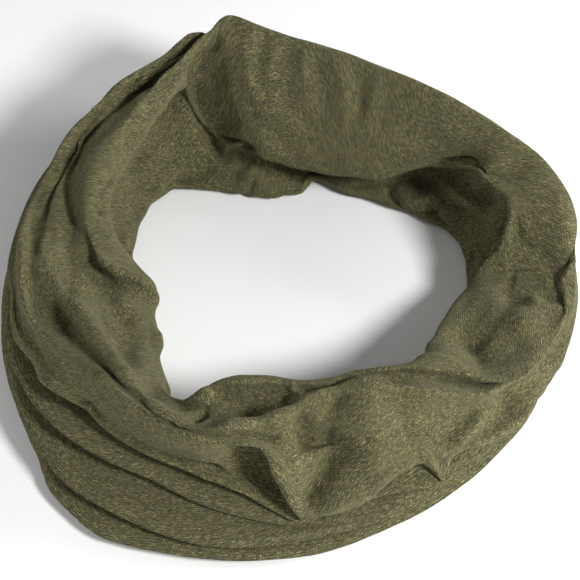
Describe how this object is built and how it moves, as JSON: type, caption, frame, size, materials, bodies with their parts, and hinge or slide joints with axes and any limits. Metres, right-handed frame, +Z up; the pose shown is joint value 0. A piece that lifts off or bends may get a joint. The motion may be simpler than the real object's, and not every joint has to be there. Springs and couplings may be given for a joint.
{
  "type": "neck gaiter",
  "caption": "Olive melange jersey neck gaiter, gathered along its length into a loose round ring with overlocked openings tucked under.",
  "frame": {"origin": "on the table under the middle of the ring's outline", "axes": "+Z up out of the table, through the neck opening; +X to the right and -Y to the front, where the folds lie lowest"},
  "size_m": [0.2032, 0.1969, 0.0547],
  "materials": {
    "jersey": "matte",
    "overlock_thread": "matte"
  },
  "bodies": {
    "root": {"knit_tube": "jersey", "lower_hem_needle_thread": "overlock_thread", "lower_hem_upper_looper_thread": "overlock_thread", "lower_hem_lower_looper_thread": "overlock_thread", "upper_hem_needle_thread": "overlock_thread", "upper_hem_upper_looper_thread": "overlock_thread", "upper_hem_lower_looper_thread": "overlock_thread"}
  },
  "joints": []
}
